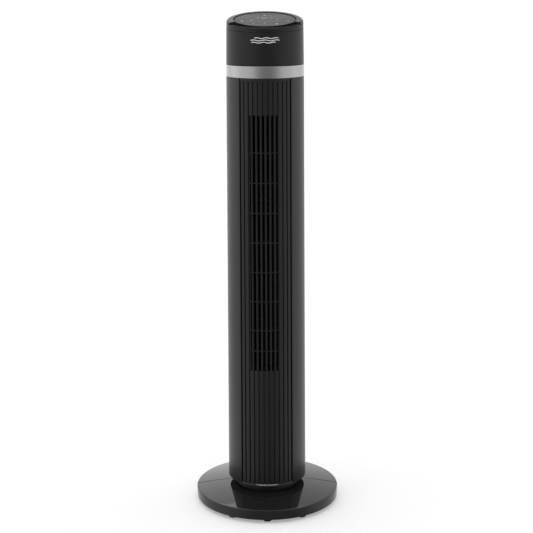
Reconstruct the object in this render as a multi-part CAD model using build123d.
from build123d import *
from math import acos, cos, degrees, pi, radians, sin, tan
import os

# An oscillating tower fan, in millimetres.
# +Z is up, the outlet grille faces -Y, and the origin is on the floor under the tower's axis.
# Plan angles are in degrees from the front (-Y), positive towards +X.

# ---- driving dimensions: tower ----
TAPER_LOW, TAPER_HIGH = 60.0, 930.0      # heights where the two tower radii are measured
BODY_R_LOW, BODY_R_HIGH = 85.0, 81.0     # the tower narrows slightly towards the top
TOWER_Z = 53.5                           # underside of the tower
SKIRT_TOP = 60.0                         # top of the rounded bead under the grille
GRILLE_Z0, HOUSING_Z0 = 60.4, 54.0       # lower edges of the grille and of the rear housing
CASE_Z1 = 931.2                          # upper edge of both
WALL = 2.6                               # moulded wall of the rear housing
FIT = 0.3                                # clearance between mouldings that come apart
SCREW_FIT = 0.05                         # clearance round a screw

# ---- front grille ----
SEAM_ANGLE = 39.8                        # centre of the outermost groove, each side
RIB_COUNT = 11
GROOVE_W, GROOVE_D = 2.6, 3.0
GRILLE_WALL = 5.6
GROOVE_TOP = 926.0                       # inner grooves stop in a plain strip
WINDOW_X0, WINDOW_X1 = -35.5, 25.9       # the outlet sits off centre
WINDOW_Z0, WINDOW_Z1 = 315.0, 857.0
BAR_COUNT, BAR_W, BAR_DEPTH = 6, 4.05, 7.6
CROSS_BARS = (358.0, 403.0, 466.0, 529.0, 591.5, 654.0, 717.0, 780.0)
CROSS_BAR_H, CROSS_BAR_INSET, CROSS_BAR_DEPTH = 1.8, 1.2, 6.5

# ---- rear: intake and carrying recess ----
INTAKE_HALF_ANGLE = 50.0
INTAKE_Z0, INTAKE_Z1 = 312.0, 858.0
SLOT_COLUMNS, SLOT_ROWS = 22, 5
SLOT_W, SLOT_LAND, INTAKE_MARGIN = 3.6, 9.0, 9.0
CUP_HALF_W, CUP_Z0, CUP_Z1, CUP_FLOOR_Y, CUP_WALL = 46.0, 880.0, 925.0, 54.0, 2.2

# ---- base ----
BASE_R, RIM_Z0, RIM_Z1 = 156.0, 7.0, 28.9
DOME_TOP_Z, DOME_MID_R, DOME_MID_Z = 40.5, 112.0, 36.0
BASE_WALL, RIM_EDGE = 2.8, 1.5
COLLAR_R, COLLAR_TOP, COLLAR_WALL, COLLAR_EDGE = 70.0, 50.5, 2.6, 1.5
FOOT_ANGLES = (0, 32, -32, 64, -64, 180, 148, -148, 116, -116)
FOOT_CIRCLE, FOOT_R, FOOT_H, FOOT_STEM_R = 138.5, 9.2, 4.2, 3.9
BOSS_R = 11.5                            # moulded boss above each foot
FLANGE_R = 122.0                         # inner edge of the base's bottom flange
BALLAST_R, BALLAST_Z0, BALLAST_Z1 = 132.0, 10.1, 14.1
BASE_SCREW_R, COLLAR_SCREW_R, BASE_SCREW_L = 126.5, 65.5, 6.5
BASE_SCREW_ANGLES = (16, 48, -16, -48, 164, 132, -164, -132)
GLAND_Z, GLAND_BORE, GLAND_BODY, GLAND_FLANGE = 18.0, 3.6, 5.4, 7.2

# ---- swing drive ----
TUBE_R, TUBE_BORE, TUBE_Z0 = 15.0, 11.0, 29.7
RUNNING = 0.06                           # radial clearance of a running fit
MODULE, PRESSURE_ANGLE = 1.5, 25.0
PINION_TEETH, RING_TEETH = 12, 64
PINION_R, RING_R = MODULE * PINION_TEETH / 2, MODULE * RING_TEETH / 2
PINION_Y = RING_R - PINION_R             # the pinion rolls inside the toothed sector, at the back
ADDENDUM, RING_DEDENDUM, PINION_DEDENDUM = 1.2, 1.6, 1.6
BACKLASH = 0.36
HUB_PLATE_Z0, HUB_PLATE_Z1, HUB_BOSS_R = 33.0, 36.0, 24.0
SECTOR_HALF_ANGLE, SECTOR_R, SECTOR_Z0, SECTOR_Z1 = 50.0, 57.6, 36.3, 43.0
PINION_Z0, PINION_Z1 = 37.3, 42.3
SWING_SHAFT_R = 3.0
SWING_MOTOR_Y, SWING_MOTOR_R, SWING_MOTOR_Z0, SWING_MOTOR_Z1 = 47.0, 25.0, 60.6, 76.0

# ---- blower ----
FAN_X, FAN_Y = 6.0, 12.0                 # axis of the cross-flow wheel
WHEEL_R, WHEEL_Z0, WHEEL_Z1 = 45.0, 318.0, 852.0
BLADE_COUNT, BLADE_IN_R, BLADE_T, BLADE_LEAN, WHEEL_BAYS = 28, 34.5, 0.9, 9.0, 6
DISC_T, HUB_R, SHAFT_R = 1.6, 9.0, 4.0
DECK_Z, DECK_T = 302.0, 3.0
UPPER_Z = 862.0
MOTOR_R, MOTOR_Z0, MOTOR_Z1 = 42.0, 246.0, 297.0
MOTOR_LUG_R, MOTOR_PLATE_R = 46.0, 50.0
SCROLL_START_R, SCROLL_END_R, SCROLL_START, SCROLL_END = 50.0, 85.0, 125.0, 240.4
DUCT_WALL = 1.6

# ---- head ----
BAND_Z0, BAND_Z1, BAND_R, BAND_WALL = 931.7, 955.8, 81.2, 1.6
HEAD_Z0, HEAD_R0, HEAD_R1, HEAD_BORE = 956.8, 80.8, 79.7, 77.1
CAP_SEAM_Z, CAP_SEAM_SLOPE = 1030.9, 0.1
TOP_Z, TOP_TILT = 1047.7, 11.05
CAP_SHOULDER, CAP_BORE, CAP_SPIGOT_R, CAP_SPIGOT_H = 7.0, 75.0, 76.8, 6.0
PANEL_R, PANEL_POCKET_R, PANEL_LEDGE_R = 62.9, 64.8, 59.0
PANEL_SINK, PANEL_T, PANEL_POCKET_D, RING_T = 1.0, 2.7, 3.8, 7.0
SCOOP_HALF_ANGLE, SCOOP_R0 = 69.0, 66.0   # the cap's front steps down in front of the round rim
SCOOP_RISE = 8.6                         # height of the step's floor above the cap's seam
KEYS = {"key_power": (0, 39), "key_speed": (-24, -38), "key_mode": (24, -38),
        "key_timer": (-47, -12), "key_swing": (47, -12)}
KEY_R, KEY_FLANGE_R, KEY_STEM_R = 7.0, 8.6, 2.0   # each key travels 0.6 mm
WINDOW_W, WINDOW_L, WINDOW_Y = 15.0, 22.0, 12.0
BOARD_DEPTH, BOARD_T, BOARD_R = 14.0, 1.6, 55.0
POST_SPOTS = ((42, 20), (-42, 20), (0, -51))

LOOM_SPOT_R, LOOM_ANGLE, LOOM_R = 68.0, 100.0, 3.0
CASE_SCREW_ANGLE = 118.0
CASE_SCREW_HEIGHTS = (74.0, 296.0, 869.5, 916.0)

STAND = (Align.CENTER, Align.CENTER, Align.MIN)
HANG = (Align.CENTER, Align.CENTER, Align.MAX)
TOP = Plane(origin=(0, 0, TOP_Z), x_dir=(1, 0, 0),
            z_dir=(0, -sin(radians(TOP_TILT)), cos(radians(TOP_TILT))))


# ---- helpers ----
def body_r(z):
    """Outer radius of the tower at height z."""
    return BODY_R_LOW - (BODY_R_LOW - BODY_R_HIGH) * (z - TAPER_LOW) / (TAPER_HIGH - TAPER_LOW)


def spot(radius, angle):
    """Plan point at a radius and an angle from the front."""
    return radius * sin(radians(angle)), -radius * cos(radians(angle))


def cyl(r, z0, z1, x=0.0, y=0.0):
    return Pos(x, y, z0) * Cylinder(r, z1 - z0, align=STAND)


def tube(r_out, r_in, z0, z1, x=0.0, y=0.0):
    return cyl(r_out, z0, z1, x, y) - cyl(r_in, z0, z1, x, y)


def block(x0, x1, y0, y1, z0, z1):
    return Pos((x0 + x1) / 2, (y0 + y1) / 2, (z0 + z1) / 2) * Box(x1 - x0, y1 - y0, z1 - z0)


def tapered(inset, z0, z1):
    """Solid that follows the tower's taper, a given distance inside its outer surface."""
    return Pos(0, 0, z0) * Cone(body_r(z0) - inset, body_r(z1) - inset, z1 - z0, align=STAND)


def tapered_shell(inset_out, inset_in, z0, z1):
    return tapered(inset_out, z0, z1) - tapered(inset_in, z0, z1)


def wedge(angle0, angle1, z0, z1, reach=200.0):
    """Pie slice between two plan angles."""
    steps = max(2, int((angle1 - angle0) / 30) + 1)
    rim = [spot(reach, angle0 + (angle1 - angle0) * i / steps) for i in range(steps + 1)]
    face = make_face(Polyline((0, 0), *rim, close=True))
    return Pos(0, 0, z0) * extrude(face, z1 - z0)


def revolved(points):
    """Ring from a radius and height outline."""
    return revolve(Plane.XZ * make_face(Polyline(*points, close=True)), Axis.Z)


def outward(radius, angle, z):
    """Plane on the tower's side whose normal points straight out."""
    x, y = spot(radius, angle)
    return Plane(origin=(x, y, z), z_dir=(x, y, 0))


def screw(length, shank_r=1.5, head_r=3.0, head_h=1.8, grow=0.0):
    """Screw with its head's seat at the local origin, its head up and its shank down."""
    head = Cylinder(head_r + grow, head_h + grow, align=STAND)
    return head + Cylinder(shank_r + grow, length + grow, align=HANG)


def screws(places, length, **sizes):
    return Part() + [place * screw(length, **sizes) for place in places]


def upright(spots, z):
    """Places for screws whose heads point up."""
    return [Pos(x, y, z) for x, y in spots]


def inverted(spots, z):
    """Places for screws driven from below."""
    return [Pos(x, y, z) * Rot(180, 0, 0) for x, y in spots]


def plate_between(p, q, thickness, z0, z1):
    """Upright wall from plan point p to plan point q, with round ends."""
    run = Vector(*q) - Vector(*p)
    middle = (Vector(*p) + Vector(*q)) * 0.5
    turn = degrees(acos(run.X / run.length)) * (1 if run.Y >= 0 else -1)
    flat = Pos(middle.X, middle.Y, z0) * Rot(0, 0, turn) * Box(run.length, thickness, z1 - z0, align=STAND)
    return flat + [cyl(thickness / 2, z0, z1, *end) for end in (p, q)]


# ---- base ----
FOOT_SPOTS = [spot(FOOT_CIRCLE, a) for a in FOOT_ANGLES]
RIM_SCREW_PLACES = inverted([spot(BASE_SCREW_R, a) for a in BASE_SCREW_ANGLES], RIM_Z0)
COLLAR_SCREW_PLACES = inverted([spot(COLLAR_SCREW_R, 30 + 60 * i) for i in range(6)], BALLAST_Z0)
BASE_SCREW_PLACES = RIM_SCREW_PLACES + COLLAR_SCREW_PLACES


def base_channel():
    """Domed skin, rim wall and bottom flange of the whole base, before it is split in two."""
    skin = Polyline((FLANGE_R, RIM_Z0), (BASE_R - RIM_EDGE, RIM_Z0))
    skin += RadiusArc((BASE_R - RIM_EDGE, RIM_Z0), (BASE_R, RIM_Z0 + RIM_EDGE), -RIM_EDGE)
    skin += Line((BASE_R, RIM_Z0 + RIM_EDGE), (BASE_R, RIM_Z1 - RIM_EDGE))
    skin += RadiusArc((BASE_R, RIM_Z1 - RIM_EDGE), (BASE_R - RIM_EDGE, RIM_Z1), -RIM_EDGE)
    skin += ThreePointArc((BASE_R - RIM_EDGE, RIM_Z1), (DOME_MID_R, DOME_MID_Z),
                          (COLLAR_R + FIT, DOME_TOP_Z))
    skin += Line((COLLAR_R + FIT, DOME_TOP_Z), (COLLAR_R + FIT, DOME_TOP_Z - BASE_WALL))
    skin += ThreePointArc((COLLAR_R + FIT, DOME_TOP_Z - BASE_WALL), (DOME_MID_R, DOME_MID_Z - BASE_WALL),
                          (BASE_R - BASE_WALL, RIM_Z1 - BASE_WALL))
    skin += Polyline((BASE_R - BASE_WALL, RIM_Z1 - BASE_WALL), (BASE_R - BASE_WALL, RIM_Z0 + BASE_WALL),
                     (FLANGE_R, RIM_Z0 + BASE_WALL), (FLANGE_R, RIM_Z0))
    return revolve(Plane.XZ * make_face(skin), Axis.Z)


def base_rib(angle):
    """Stiffening rib under the dome, outside the ballast plate."""
    rib_x, rib_y = spot(144.0, angle)
    body = Box(2.0, 20.0, 18.0, align=STAND)
    return Pos(rib_x, rib_y, RIM_Z0 + 1.0) * Rot(0, 0, angle) * body


def base_half(front):
    """One of the two mouldings that clasp the collar, split along the X axis."""
    side = -1 if front else 1
    whole = base_channel()
    whole += [cyl(BOSS_R, FOOT_H, RIM_Z0 + 1, x, y) for x, y in FOOT_SPOTS]
    whole += [base_rib(a + 8) for a in FOOT_ANGLES]
    whole -= [cyl(FOOT_STEM_R + SCREW_FIT, 0, RIM_Z1 - 12, x, y) for x, y in FOOT_SPOTS]
    whole -= screws(RIM_SCREW_PLACES, BASE_SCREW_L, grow=SCREW_FIT)
    if not front:
        seat = Plane(origin=(0, BASE_R, GLAND_Z), z_dir=(0, 1, 0))
        whole -= seat * Cylinder(GLAND_FLANGE + SCREW_FIT, 1.6, align=HANG)
        whole -= seat * Cylinder(GLAND_BODY + SCREW_FIT, 8, align=HANG)
    near, far = sorted((side * FIT / 2, side * (BASE_R + 1)))
    return whole & block(-BASE_R - 1, BASE_R + 1, near, far, 0, COLLAR_TOP)


def ballast_plate():
    plate = cyl(BALLAST_R, BALLAST_Z0, BALLAST_Z1) - cyl(16, BALLAST_Z0, BALLAST_Z1)
    return plate - screws(BASE_SCREW_PLACES, BASE_SCREW_L, grow=SCREW_FIT)


def base_collar():
    """Glossy neck that stands on the ballast plate and carries the swing bearing."""
    inner = COLLAR_R - COLLAR_WALL
    bore = TUBE_R + RUNNING
    foot_in, foot_top, boss_z0, boss_z1 = 61.0, 17.2, 30.0, 49.6
    outline = Polyline((COLLAR_R - COLLAR_EDGE, COLLAR_TOP), (inner, COLLAR_TOP), (inner, HUB_PLATE_Z1),
                       (HUB_BOSS_R, HUB_PLATE_Z1), (HUB_BOSS_R, boss_z1), (bore, boss_z1), (bore, boss_z0),
                       (HUB_BOSS_R, boss_z0), (HUB_BOSS_R, HUB_PLATE_Z0), (inner, HUB_PLATE_Z0),
                       (inner, foot_top), (foot_in, foot_top), (foot_in, BALLAST_Z1), (COLLAR_R, BALLAST_Z1),
                       (COLLAR_R, COLLAR_TOP - COLLAR_EDGE))
    outline += RadiusArc((COLLAR_R, COLLAR_TOP - COLLAR_EDGE), (COLLAR_R - COLLAR_EDGE, COLLAR_TOP),
                         -COLLAR_EDGE)
    neck = revolve(Plane.XZ * make_face(outline), Axis.Z)
    neck -= screws(COLLAR_SCREW_PLACES, BASE_SCREW_L, grow=SCREW_FIT)
    return neck - screws(SECTOR_SCREW_PLACES, 10, grow=SCREW_FIT)


def rubber_feet():
    pads = [cyl(FOOT_R, 0, FOOT_H - 0.1, x, y) for x, y in FOOT_SPOTS]
    return Part() + pads + [cyl(FOOT_STEM_R, FOOT_H - 0.1, RIM_Z0 + 5, x, y) for x, y in FOOT_SPOTS]


def cord_gland():
    seat = Plane(origin=(0, BASE_R - 0.3, GLAND_Z), z_dir=(0, 1, 0))
    body = seat * Cylinder(GLAND_FLANGE, 1.2, align=HANG) + seat * Cylinder(GLAND_BODY, 9.5, align=HANG)
    return body - seat * Cylinder(GLAND_BORE, 9.5, align=HANG)


# ---- swing drive ----
SECTOR_SCREW_PLACES = upright([spot(54.0, 180 + a) for a in (-38, 0, 38)], SECTOR_Z1 - 1.9)
RETAINER_SCREW_PLACES = inverted([spot(13.0, 120 * i) for i in range(3)], TUBE_Z0 - 2.0)
SWING_EAR = 30.0
SWING_SCREW_PLACES = upright([(SWING_EAR, SWING_MOTOR_Y), (-SWING_EAR, SWING_MOTOR_Y)],
                             SWING_MOTOR_Z0 + 1.6)


def involute(angle):
    return tan(angle) - angle


def tooth_face(pitch_r, width, low_r, high_r):
    """Involute tooth centred on +Y, from low_r to high_r, with a given width at the pitch circle."""
    base = pitch_r * cos(radians(PRESSURE_ANGLE))
    flank = []
    for i in range(9):
        r = low_r + (high_r - low_r) * i / 8
        roll = involute(acos(min(1.0, base / r)))
        half = width / (2 * pitch_r) + involute(radians(PRESSURE_ANGLE)) - roll
        flank.append((r, half))
    right = [(r * sin(h), r * cos(h)) for r, h in flank]
    left = [(-x, y) for x, y in reversed(right)]
    return make_face(Polyline(*right, *left, close=True))


def swing_gear_sector():
    """Internal teeth fixed to the collar: the tower's pinion walks along them."""
    bar = tube(SECTOR_R, RING_R - ADDENDUM, SECTOR_Z0, SECTOR_Z1)
    bar &= wedge(180 - SECTOR_HALF_ANGLE, 180 + SECTOR_HALF_ANGLE, SECTOR_Z0, SECTOR_Z1)
    width = pi * MODULE / 2
    space = tooth_face(RING_R, width, RING_R - ADDENDUM - 0.4, RING_R + RING_DEDENDUM)
    cutter = Pos(0, 0, SECTOR_Z0) * extrude(space, SECTOR_Z1 - SECTOR_Z0)
    pitch = 360 / RING_TEETH
    half_count = int(SECTOR_HALF_ANGLE / pitch)
    bar -= [Rot(0, 0, pitch * i) * cutter for i in range(-half_count, half_count + 1)]
    return bar - screws(SECTOR_SCREW_PLACES, 10, grow=SCREW_FIT)


def swing_pinion():
    root = PINION_R - PINION_DEDENDUM
    width = pi * MODULE / 2 - BACKLASH
    tooth = extrude(tooth_face(PINION_R, width, root - 0.5, PINION_R + ADDENDUM), PINION_Z1 - PINION_Z0)
    pitch = 360 / PINION_TEETH
    teeth = [Rot(0, 0, pitch * i) * tooth for i in range(PINION_TEETH)]
    wheel = cyl(root, 0, PINION_Z1 - PINION_Z0) + teeth
    wheel -= cyl(SWING_SHAFT_R + 0.02, 0, PINION_Z1 - PINION_Z0)
    return Pos(0, PINION_Y, PINION_Z0) * wheel


def swing_shaft():
    return cyl(SWING_SHAFT_R, PINION_Z0, SWING_MOTOR_Z1 - 4, 0, PINION_Y)


def swing_motor():
    can = cyl(SWING_MOTOR_R, SWING_MOTOR_Z0, SWING_MOTOR_Z1, 0, SWING_MOTOR_Y)
    reach = SWING_EAR + 5
    near, far = SWING_MOTOR_Y - 5, SWING_MOTOR_Y + 5
    can += block(-reach, reach, near, far, SWING_MOTOR_Z0, SWING_MOTOR_Z0 + 1.6)
    can -= cyl(SWING_SHAFT_R + RUNNING, SWING_MOTOR_Z0, SWING_MOTOR_Z1 - 3, 0, PINION_Y)
    return can - screws(SWING_SCREW_PLACES, 7, grow=SCREW_FIT)


def thrust_ring():
    return tube(23.5, 17, 49.7, 53.1)


def pivot_retainer():
    ring = tube(22, TUBE_BORE, TUBE_Z0 - 3.2, TUBE_Z0 - 0.1)
    return ring - screws(RETAINER_SCREW_PLACES, 10, shank_r=1.0, head_r=1.9, head_h=1.4, grow=SCREW_FIT)


def bead_outline():
    """Section of the bead that shows under the grille, rounded so that it faces up and out."""
    inner, outer = body_r(TOWER_Z) - 6, body_r(TOWER_Z)
    round_z0, round_z1, round_depth = TOWER_Z + 1.0, SKIRT_TOP - 1.4, 3.6
    shelf_r = outer - round_depth
    outline = Polyline((shelf_r, round_z1), (shelf_r, SKIRT_TOP), (inner, SKIRT_TOP), (inner, TOWER_Z),
                       (outer - 0.8, TOWER_Z), (outer, TOWER_Z + 0.8), (outer, round_z0))
    bend = (outer - 0.29 * round_depth, round_z1 - 0.29 * (round_z1 - round_z0))
    return outline + ThreePointArc((outer, round_z0), bend, (shelf_r, round_z1))


def tower_floor():
    """Floor with the bead, the pivot tube and the spigot that the case is screwed to."""
    spigot_r, spigot_in, spigot_top = 79.0, 76.4, 84.0
    floor_top = 57.5
    edge = grille_edge_angle()
    bead = revolve(Plane.XZ * make_face(bead_outline()), Axis.Z) & wedge(-edge, edge, TOWER_Z, SKIRT_TOP)
    part = tapered(WALL + FIT, TOWER_Z, SKIRT_TOP) + bead - cyl(spigot_in, floor_top, SKIRT_TOP)
    part += tube(spigot_r, spigot_in, SKIRT_TOP - 1, spigot_top)
    part += cyl(TUBE_R, TUBE_Z0, floor_top)
    part += [cyl(4.5, floor_top, SWING_MOTOR_Z0, x, SWING_MOTOR_Y) for x in (-SWING_EAR, SWING_EAR)]
    part += case_pads(CASE_SCREW_HEIGHTS[0], spigot_in, 12)
    part -= cyl(TUBE_BORE, TUBE_Z0, floor_top)
    part -= cyl(SWING_SHAFT_R + RUNNING, TOWER_Z, floor_top, 0, PINION_Y)
    part -= screws(SWING_SCREW_PLACES, 7, grow=SCREW_FIT)
    part -= screws(RETAINER_SCREW_PLACES, 10, shank_r=1.0, head_r=1.9, head_h=1.4, grow=SCREW_FIT)
    return part - case_screws(SCREW_FIT)


def capacitor():
    return fillet(cyl(14, 57.7, 103, -46, -10).edges().group_by(Axis.Z)[-1], 1.5)


def terminal_block():
    body = block(34, 58, -22, -6, 57.7, 71)
    return body - [block(34 + 6 * i - 1.6, 34 + 6 * i + 1.6, -19, -9, 67, 71) for i in (1, 2, 3)]


# ---- case ----
CASE_SCREW_SPOTS = [(side * CASE_SCREW_ANGLE, z) for side in (1, -1) for z in CASE_SCREW_HEIGHTS]


def case_screws(grow=0.0):
    """Radial screws through the rear housing, heads sunk in its wall."""
    places = [outward(body_r(z) - 1.5, angle, z) for angle, z in CASE_SCREW_SPOTS]
    return screws(places, 9, shank_r=1.6, head_r=3.3, head_h=1.2, grow=grow)


def case_pads(z, from_r, height):
    """Blocks between a deck's rim and the rear housing, where the case screws bite."""
    depth = body_r(z + height / 2) - WALL - 0.5 - from_r
    return [outward(from_r, side * CASE_SCREW_ANGLE, z) * Box(height, 12, depth, align=STAND)
            for side in (1, -1)]


def grille_edge_angle():
    """The grille ends just inside the far side of its outermost grooves."""
    return SEAM_ANGLE + degrees(GROOVE_W / 2 / (BODY_R_LOW + 2))


def groove(angle, z1):
    """Cutter for one groove, floor parallel to the tapered face."""
    low, high = body_r(GRILLE_Z0), body_r(z1)
    side = Polyline((low - GROOVE_D, GRILLE_Z0 - 1), (low + 3, GRILLE_Z0 - 1), (low + 3, z1 + 2),
                    (high, z1 + 2), (high - GROOVE_D, z1 - 1), close=True)
    slab = extrude(Plane.XZ * make_face(side), GROOVE_W / 2, both=True)
    return Rot(0, 0, angle - 90) * slab


def front_grille():
    """Ribbed front with the tall outlet: slender upright bars tied by thin cross-bars."""
    pitch = 2 * SEAM_ANGLE / RIB_COUNT
    edge = grille_edge_angle()
    skin = tapered_shell(0, GRILLE_WALL, GRILLE_Z0, CASE_Z1) & wedge(-edge, edge, GRILLE_Z0, CASE_Z1)
    for i in range(RIB_COUNT + 1):
        outermost = i in (0, RIB_COUNT)
        skin -= groove(-SEAM_ANGLE + pitch * i, CASE_Z1 + 4 if outermost else GROOVE_TOP)
    skin -= block(WINDOW_X0, WINDOW_X1, -BODY_R_LOW - 5, -40, WINDOW_Z0, WINDOW_Z1)
    return skin + [outlet_bars(), cross_bars()]


def outlet_bars():
    middle = (WINDOW_X0 + WINDOW_X1) / 2
    opening = (WINDOW_X1 - WINDOW_X0 - BAR_COUNT * BAR_W) / (BAR_COUNT + 1)
    sheet = tapered_shell(0, BAR_DEPTH, WINDOW_Z0 - 2, WINDOW_Z1 + 2)
    centres = [middle + (opening + BAR_W) * (i - (BAR_COUNT - 1) / 2) for i in range(BAR_COUNT)]
    bars = [block(x - BAR_W / 2, x + BAR_W / 2, -BODY_R_LOW, -40, WINDOW_Z0 - 2, WINDOW_Z1 + 2)
            for x in centres]
    return sheet & (Part() + bars)


def cross_bars():
    sheet = tapered_shell(CROSS_BAR_INSET, CROSS_BAR_DEPTH, WINDOW_Z0, WINDOW_Z1)
    low, high = WINDOW_X0 - 1.0, WINDOW_X1 + 1.0
    bars = [block(low, high, -BODY_R_LOW, -40, z - CROSS_BAR_H / 2, z + CROSS_BAR_H / 2)
            for z in CROSS_BARS]
    return sheet & (Part() + bars)


def rear_housing():
    """C-shaped shell from seam to seam round the back."""
    start = grille_edge_angle() + degrees(FIT / BODY_R_LOW)
    shell = tapered_shell(0, WALL, HOUSING_Z0, CASE_Z1) & wedge(start, 360 - start, HOUSING_Z0, CASE_Z1)
    shell -= wedge(180 - INTAKE_HALF_ANGLE, 180 + INTAKE_HALF_ANGLE, INTAKE_Z0, INTAKE_Z1)
    shell -= block(-CUP_HALF_W, CUP_HALF_W, CUP_FLOOR_Y, BODY_R_LOW, CUP_Z0, CUP_Z1)
    return shell - case_screws(SCREW_FIT)


def rear_grille():
    """Snap-in intake panel with rows of upright slots."""
    inset = degrees(FIT / BODY_R_LOW)
    half = INTAKE_HALF_ANGLE - inset
    z0, z1 = INTAKE_Z0 + FIT, INTAKE_Z1 - FIT
    panel = tapered_shell(0.2, WALL, z0, z1) & wedge(180 - half, 180 + half, z0, z1)
    row_pitch = (INTAKE_Z1 - INTAKE_Z0 - 2 * INTAKE_MARGIN + SLOT_LAND) / SLOT_ROWS
    span = INTAKE_HALF_ANGLE - degrees(INTAKE_MARGIN / BODY_R_LOW)
    cutters = []
    for row in range(SLOT_ROWS):
        low = INTAKE_Z0 + INTAKE_MARGIN + row_pitch * row
        for column in range(SLOT_COLUMNS):
            angle = 180 - span + 2 * span * column / (SLOT_COLUMNS - 1)
            slot = block(-SLOT_W / 2, SLOT_W / 2, -BODY_R_LOW - 2, -70, low, low + row_pitch - SLOT_LAND)
            cutters.append(Rot(0, 0, angle) * slot)
    return panel - cutters


def handle_cup():
    """Recess at the back that the fingers go into to lift the fan."""
    half, z0, z1 = CUP_HALF_W - FIT, CUP_Z0 + FIT, CUP_Z1 - FIT
    shape = block(-half, half, CUP_FLOOR_Y, BODY_R_LOW, z0, z1) & tapered(0.2, z0, z1)
    hollow = block(-half + CUP_WALL, half - CUP_WALL, CUP_FLOOR_Y + CUP_WALL, BODY_R_LOW,
                   z0 + CUP_WALL, z1 - CUP_WALL)
    return shape - hollow


def loom_hole(z0, z1):
    return cyl(LOOM_R + FIT, z0, z1, *spot(LOOM_SPOT_R, LOOM_ANGLE))


def wiring_loom():
    return cyl(LOOM_R, 62, 984, *spot(LOOM_SPOT_R, LOOM_ANGLE))


# ---- blower and its motor ----
MOTOR_SCREW_SPOTS = [(FAN_X + MOTOR_LUG_R * cos(radians(45 + 90 * i)),
                      FAN_Y + MOTOR_LUG_R * sin(radians(45 + 90 * i))) for i in range(4)]
MOTOR_SCREW_PLACES = upright(MOTOR_SCREW_SPOTS, DECK_Z + DECK_T)
BEARING_SCREW_PLACES = upright([(FAN_X + 15.5, FAN_Y), (FAN_X - 15.5, FAN_Y)], 878.5)


def motor_deck():
    """Deck that hangs the motor and closes the air path below."""
    rim = 78.0
    top = DECK_Z + DECK_T
    deck = cyl(rim, DECK_Z, top) + tube(rim, rim - 2.5, DECK_Z - 12, DECK_Z)
    deck += case_pads(CASE_SCREW_HEIGHTS[1], rim - 2.5, 12)
    deck -= cyl(HUB_R + 3, DECK_Z, top, FAN_X, FAN_Y)
    deck -= loom_hole(DECK_Z, top)
    deck -= screws(MOTOR_SCREW_PLACES, 9, grow=SCREW_FIT)
    return deck - case_screws(SCREW_FIT)


def upper_deck():
    """Deck above the wheel, with the pocket of the upper bearing."""
    rim, top = 75.2, UPPER_Z + DECK_T
    deck = cyl(rim, UPPER_Z, top) + tube(rim, rim - 2.5, top, top + 10)
    deck += case_pads(CASE_SCREW_HEIGHTS[2], rim - 2.5, 9)
    deck += cyl(18.5, top, 877.2, FAN_X, FAN_Y)
    deck -= cyl(HUB_R, UPPER_Z, top + 1, FAN_X, FAN_Y)
    deck -= cyl(14, top + 1, 877.2, FAN_X, FAN_Y)
    deck -= loom_hole(UPPER_Z, top)
    deck -= screws(BEARING_SCREW_PLACES, 8, shank_r=1.1, head_r=2.0, head_h=1.4, grow=SCREW_FIT)
    return deck - case_screws(SCREW_FIT)


def motor_can():
    cup = cyl(MOTOR_R, MOTOR_Z0, MOTOR_Z1 - 0.1, FAN_X, FAN_Y)
    cup -= cyl(MOTOR_R - 1.8, MOTOR_Z0 + 2.5, MOTOR_Z1 - 0.1, FAN_X, FAN_Y)
    centre = Pos(FAN_X, FAN_Y, MOTOR_Z0)
    vents = [centre * Rot(0, 0, 60 * i) * Pos(28, 0, 0) * Box(12, 5, 6) for i in range(6)]
    cup -= vents
    return cup - cyl(SHAFT_R + RUNNING, MOTOR_Z0, MOTOR_Z0 + 3, FAN_X, FAN_Y)


def motor_cap():
    """Top plate of the motor, with the lugs that hang it on its grommets."""
    plate = cyl(MOTOR_PLATE_R, MOTOR_Z1, MOTOR_Z1 + 2, FAN_X, FAN_Y)
    plate -= cyl(SHAFT_R + RUNNING, MOTOR_Z1, MOTOR_Z1 + 2, FAN_X, FAN_Y)
    return plate - screws(MOTOR_SCREW_PLACES, 9, grow=SCREW_FIT)


def stator():
    return tube(MOTOR_R - 1.9, 25.6, MOTOR_Z0 + 11, MOTOR_Z1 - 13, FAN_X, FAN_Y)


def windings():
    low = tube(38, 27.5, MOTOR_Z0 + 4, MOTOR_Z0 + 10.9, FAN_X, FAN_Y)
    return Part() + [low, tube(38, 27.5, MOTOR_Z1 - 12.9, MOTOR_Z1 - 5, FAN_X, FAN_Y)]


def motor_grommets():
    rings = [cyl(6, MOTOR_Z1 + 2.05, DECK_Z - 0.05, x, y) for x, y in MOTOR_SCREW_SPOTS]
    return Part() + rings - screws(MOTOR_SCREW_PLACES, 9, grow=SCREW_FIT)


def rotor_core():
    return tube(25.0, SHAFT_R + 0.02, MOTOR_Z0 + 10, MOTOR_Z1 - 12, FAN_X, FAN_Y)


def motor_shaft():
    return cyl(SHAFT_R, MOTOR_Z0 - 4, WHEEL_Z0 + 8, FAN_X, FAN_Y)


def top_journal():
    return cyl(SHAFT_R, WHEEL_Z1 - 8, 876, FAN_X, FAN_Y)


def blade():
    """Curved blade, its chord leaning in the direction of turning."""
    def at(r, angle):
        return (r * cos(radians(angle)), r * sin(radians(angle)))
    middle = (BLADE_IN_R + WHEEL_R - 0.4) / 2
    inner, outer = at(BLADE_IN_R, 0), at(WHEEL_R - 0.4, BLADE_LEAN)
    belly = ThreePointArc(inner, at(middle, BLADE_LEAN * 0.18), outer)
    back = ThreePointArc(outer, at(middle + BLADE_T * 0.5, BLADE_LEAN * 0.18 + 1.6), inner)
    return extrude(make_face(belly + back), WHEEL_Z1 - WHEEL_Z0)


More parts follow.
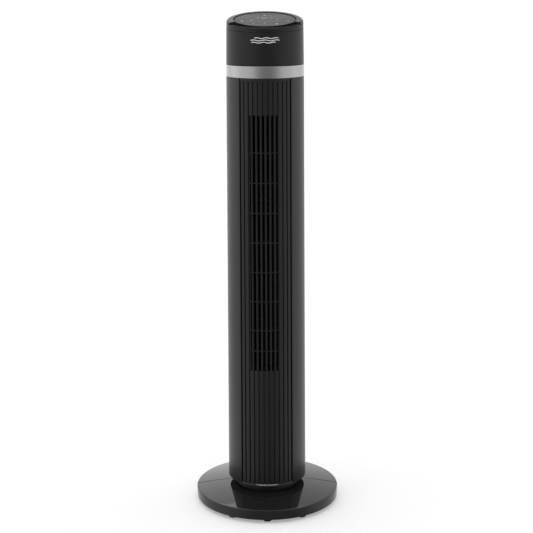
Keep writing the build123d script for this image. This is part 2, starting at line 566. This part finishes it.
def blower_wheel():
    """Cross-flow wheel: long curved blades between discs."""
    bay = (WHEEL_Z1 - WHEEL_Z0 - DISC_T) / WHEEL_BAYS
    length = WHEEL_Z1 - WHEEL_Z0
    discs = [tube(WHEEL_R, BLADE_IN_R - 2, bay * i, bay * i + DISC_T) for i in range(1, WHEEL_BAYS)]
    blades = [Rot(0, 0, 360 / BLADE_COUNT * i) * blade() for i in range(BLADE_COUNT)]
    wheel = cyl(WHEEL_R, 0, DISC_T) + blades
    wheel += discs
    wheel += cyl(WHEEL_R, length - DISC_T, length)
    wheel += [cyl(HUB_R, -8, 14), cyl(HUB_R, length - 14, length + 6)]
    wheel -= [cyl(SHAFT_R + 0.02, -8, 14), cyl(SHAFT_R + 0.02, length - 14, length + 6)]
    return Pos(FAN_X, FAN_Y, WHEEL_Z0) * wheel - hub_screw(SCREW_FIT)


def hub_screw(grow=0.0):
    seat = Plane(origin=(FAN_X + HUB_R - 0.5, FAN_Y, WHEEL_Z0 - 4), z_dir=(1, 0, 0))
    return seat * Cylinder(1.5 + grow, HUB_R - SHAFT_R - 0.6, align=HANG)


def scroll_wall():
    """Spiral wall that opens from the wheel to the outlet."""
    growth = SCROLL_END_R / SCROLL_START_R

    def at(angle, extra):
        share = (angle - SCROLL_START) / (SCROLL_END - SCROLL_START)
        r = SCROLL_START_R * growth ** share + extra
        return (FAN_X + r * cos(radians(angle)), FAN_Y + r * sin(radians(angle)))
    stations = [SCROLL_START + (SCROLL_END - SCROLL_START) * i / 6 for i in range(7)]
    near = Spline(*[at(a, 0) for a in stations])
    far = Spline(*[at(a, DUCT_WALL) for a in reversed(stations)])
    close_far = Line(near @ 1, far @ 0)
    close_near = Line(far @ 1, near @ 0)
    face = make_face(near + close_far + far + close_near)
    return Pos(0, 0, DECK_Z + DECK_T + 0.2) * extrude(face, UPPER_Z - DECK_Z - DECK_T - 0.4)


def stabiliser():
    """Tongue beside the outlet that keeps the air from turning back."""
    z0, z1 = DECK_Z + DECK_T + 0.2, UPPER_Z - 0.2
    mouth, tip, side = (27, -65), (34.5, -30), (67, -22)
    return plate_between(mouth, tip, DUCT_WALL, z0, z1) + plate_between(tip, side, DUCT_WALL, z0, z1)


def bearing_bush():
    return tube(7, SHAFT_R + RUNNING, 866.5, 876.5, FAN_X, FAN_Y)


def bearing_holder():
    return tube(13.9, 7.05, 866.2, 877.1, FAN_X, FAN_Y)


def bearing_plate():
    plate = tube(18.5, 8, 877.3, 878.5, FAN_X, FAN_Y)
    return plate - screws(BEARING_SCREW_PLACES, 8, shank_r=1.1, head_r=2.0, head_h=1.4, grow=SCREW_FIT)


# ---- head ----
def below_seam(z_low):
    """Everything under the sloping seam between head shell and cap."""
    reach = 150
    side = Polyline((-reach, z_low), (reach, z_low), (reach, CAP_SEAM_Z + reach * CAP_SEAM_SLOPE),
                    (-reach, CAP_SEAM_Z - reach * CAP_SEAM_SLOPE), close=True)
    return extrude(Plane.YZ * make_face(side), reach, both=True)


def head_frame():
    """Hidden ring that joins the case to the head and carries the trim band."""
    frame = revolved([(72.4, 905), (74.9, 905), (74.9, 931.7), (79.3, 931.7), (79.3, 956.4),
                      (76.8, 956.4), (76.8, 968), (74.2, 968), (74.2, 956.4), (45, 956.4),
                      (45, 954), (76.8, 954), (76.8, 934), (72.4, 934)])
    frame += case_pads(CASE_SCREW_HEIGHTS[3], 72.4, 12)
    frame -= block(-49, 49, 45, 90, 900, 929.5)
    frame -= loom_hole(950, 957)
    return frame - case_screws(SCREW_FIT)


def trim_band():
    ring = tube(BAND_R, BAND_R - BAND_WALL, BAND_Z0, BAND_Z1)
    rims = ring.edges().filter_by(GeomType.CIRCLE).sort_by(SortBy.LENGTH)[-2:]
    return chamfer(rims, 0.4)


def head_shell():
    slope_top = CAP_SEAM_Z + 10
    shell = Pos(0, 0, HEAD_Z0) * Cone(HEAD_R0, HEAD_R1, slope_top - HEAD_Z0, align=STAND)
    shell -= cyl(HEAD_BORE, HEAD_Z0, slope_top)
    return shell & Pos(0, 0, -0.25) * below_seam(900)


def top_cap():
    """Cap with a tilted top, a pocket for the panel and a shallow scoop at the front."""
    drum = cyl(HEAD_R1, CAP_SEAM_Z - 20, TOP_Z + 30) - Pos(0, 0, 0.25) * below_seam(900)
    drum -= TOP * Box(300, 300, 100, align=STAND)
    brim = drum.faces().sort_by(Axis.Z)[-1].outer_wire().edges()
    drum = fillet(brim, CAP_SHOULDER)
    spigot_top = Pos(0, 0, 5) * below_seam(900)
    spigot = (cyl(CAP_SPIGOT_R, 1000, 1060) & spigot_top) - Pos(0, 0, -CAP_SPIGOT_H) * below_seam(900)
    drum += spigot
    hollow = cyl(CAP_BORE, 1000, 1080) - TOP * Pos(0, 0, -RING_T) * Box(300, 300, 100, align=STAND)
    drum -= hollow
    drum -= TOP * Cylinder(PANEL_POCKET_R, PANEL_POCKET_D, align=HANG)
    drum -= TOP * Cylinder(PANEL_LEDGE_R, 20, align=HANG)
    return drum - scoop()


def scoop():
    """What is cut away in front of the rim: everything above a floor parallel to the seam."""
    slice_z0, slice_z1 = CAP_SEAM_Z - 20, TOP_Z + 20
    cut = wedge(-SCOOP_HALF_ANGLE, SCOOP_HALF_ANGLE, slice_z0, slice_z1, reach=140)
    cut -= Pos(0, 0, SCOOP_RISE) * below_seam(900)
    return cut - TOP * Cylinder(SCOOP_R0, 120)


def on_panel(x, y, depth, shape):
    """Puts a shape at a place on the tilted panel, some way below its top plane."""
    return TOP * Pos(x, y, -depth) * shape


BOARD_SCREW_PLACES = [TOP * Pos(x, y, -BOARD_DEPTH - BOARD_T) * Rot(180, 0, 0) for x, y in POST_SPOTS]


def control_panel():
    disc = on_panel(0, 0, PANEL_SINK, Cylinder(PANEL_R, PANEL_T, align=HANG))
    disc += [on_panel(x, y, PANEL_SINK + 1, Cylinder(3.4, BOARD_DEPTH - PANEL_SINK - 1.1, align=HANG))
             for x, y in POST_SPOTS]
    disc -= [on_panel(x, y, 0, Cylinder(KEY_R + FIT, 6, align=HANG)) for x, y in KEYS.values()]
    disc -= on_panel(0, WINDOW_Y, 0, Box(WINDOW_W, WINDOW_L, 6, align=HANG))
    return disc - screws(BOARD_SCREW_PLACES, 8, shank_r=1.2, head_r=2.2, head_h=1.4, grow=SCREW_FIT)


def key(name):
    """Flush push key: cap, a flange that stops it below the panel, and a stem to its switch."""
    x, y = KEYS[name]
    cap = fillet(Cylinder(KEY_R, 4.4, align=HANG).edges().group_by(Axis.Z)[-1], 0.25)
    flange = Pos(0, 0, -3.2) * Cylinder(KEY_FLANGE_R, 1.2, align=HANG)
    stem = Pos(0, 0, -4.4) * Cylinder(KEY_STEM_R, 3.6, align=HANG)
    return on_panel(x, y, PANEL_SINK, cap + flange + stem)


def key_switches():
    """Switches on the board, each with its plunger just under a key's stem."""
    bodies = []
    for x, y in KEYS.values():
        bodies.append(on_panel(x, y, 11.0, Box(6, 6, BOARD_DEPTH - 11.05, align=HANG)))
        bodies.append(on_panel(x, y, 10.0, Cylinder(1.7, 1.0, align=HANG)))
    return Part() + bodies


def display_window():
    size = (WINDOW_W - 0.2, WINDOW_L - 0.2, 2.0)
    return on_panel(0, WINDOW_Y, PANEL_SINK, Box(*size, align=HANG))


def display_module():
    return on_panel(0, WINDOW_Y, 3.9, Box(13, 20, BOARD_DEPTH - 3.95, align=HANG))


def control_board():
    board = on_panel(0, 0, BOARD_DEPTH, Cylinder(BOARD_R, BOARD_T, align=HANG))
    return board - screws(BOARD_SCREW_PLACES, 8, shank_r=1.2, head_r=2.2, head_h=1.4, grow=SCREW_FIT)


def power_board():
    """Mains board on the head frame, with its transformer, relays and supply capacitor."""
    z = 958.0
    posts = [cyl(3, 956.5, z, x, y) for x in (-34, 34) for y in (-34, 34)]
    board = block(-40, 40, -40, 40, z, z + 1.6)
    top = z + 1.6
    parts = [block(-32, -4, -30, -6, top, top + 24), block(8, 28, -30, -14, top, top + 15)]
    parts += [block(8, 28, -8, 8, top, top + 15), cyl(7, top, top + 22, -18, 20)]
    return board + posts + parts


# ---- every node, body by body ----
NODES = {
    "base_front": lambda: base_half(True),
    "base_rear": lambda: base_half(False),
    "base_collar": base_collar,
    "ballast_plate": ballast_plate,
    "rubber_feet": rubber_feet,
    "base_screws": lambda: screws(BASE_SCREW_PLACES, BASE_SCREW_L),
    "cord_gland": cord_gland,
    "thrust_ring": thrust_ring,
    "swing_gear_sector": swing_gear_sector,
    "sector_screws": lambda: screws(SECTOR_SCREW_PLACES, 10),
    "tower_floor": tower_floor,
    "pivot_retainer": pivot_retainer,
    "retainer_screws": lambda: screws(RETAINER_SCREW_PLACES, 10, shank_r=1.0, head_r=1.9, head_h=1.4),
    "swing_motor": swing_motor,
    "swing_motor_screws": lambda: screws(SWING_SCREW_PLACES, 7),
    "capacitor": capacitor,
    "terminal_block": terminal_block,
    "front_grille": front_grille,
    "rear_housing": rear_housing,
    "rear_grille": rear_grille,
    "handle_cup": handle_cup,
    "case_screws": case_screws,
    "motor_deck": motor_deck,
    "motor_can": motor_can,
    "motor_cap": motor_cap,
    "stator": stator,
    "windings": windings,
    "motor_grommets": motor_grommets,
    "motor_screws": lambda: screws(MOTOR_SCREW_PLACES, 9),
    "scroll_wall": scroll_wall,
    "stabiliser": stabiliser,
    "upper_deck": upper_deck,
    "bearing_holder": bearing_holder,
    "bearing_bush": bearing_bush,
    "bearing_plate": bearing_plate,
    "bearing_screws": lambda: screws(BEARING_SCREW_PLACES, 8, shank_r=1.1, head_r=2.0, head_h=1.4),
    "trim_band": trim_band,
    "head_frame": head_frame,
    "head_shell": head_shell,
    "top_cap": top_cap,
    "control_panel": control_panel,
    "display_window": display_window,
    "display_module": display_module,
    "control_board": control_board,
    "board_screws": lambda: screws(BOARD_SCREW_PLACES, 8, shank_r=1.2, head_r=2.2, head_h=1.4),
    "key_switches": key_switches,
    "power_board": power_board,
    "wiring_loom": wiring_loom,
    "blower_wheel": blower_wheel,
    "motor_shaft": motor_shaft,
    "rotor_core": rotor_core,
    "top_journal": top_journal,
    "hub_screw": hub_screw,
    "swing_pinion": swing_pinion,
    "swing_shaft": swing_shaft,
}

os.makedirs("parts", exist_ok=True)
for name, build in NODES.items():
    export_step(build(), f"parts/{name}.step")
for name in KEYS:
    export_step(key(name), f"parts/{name}.step")
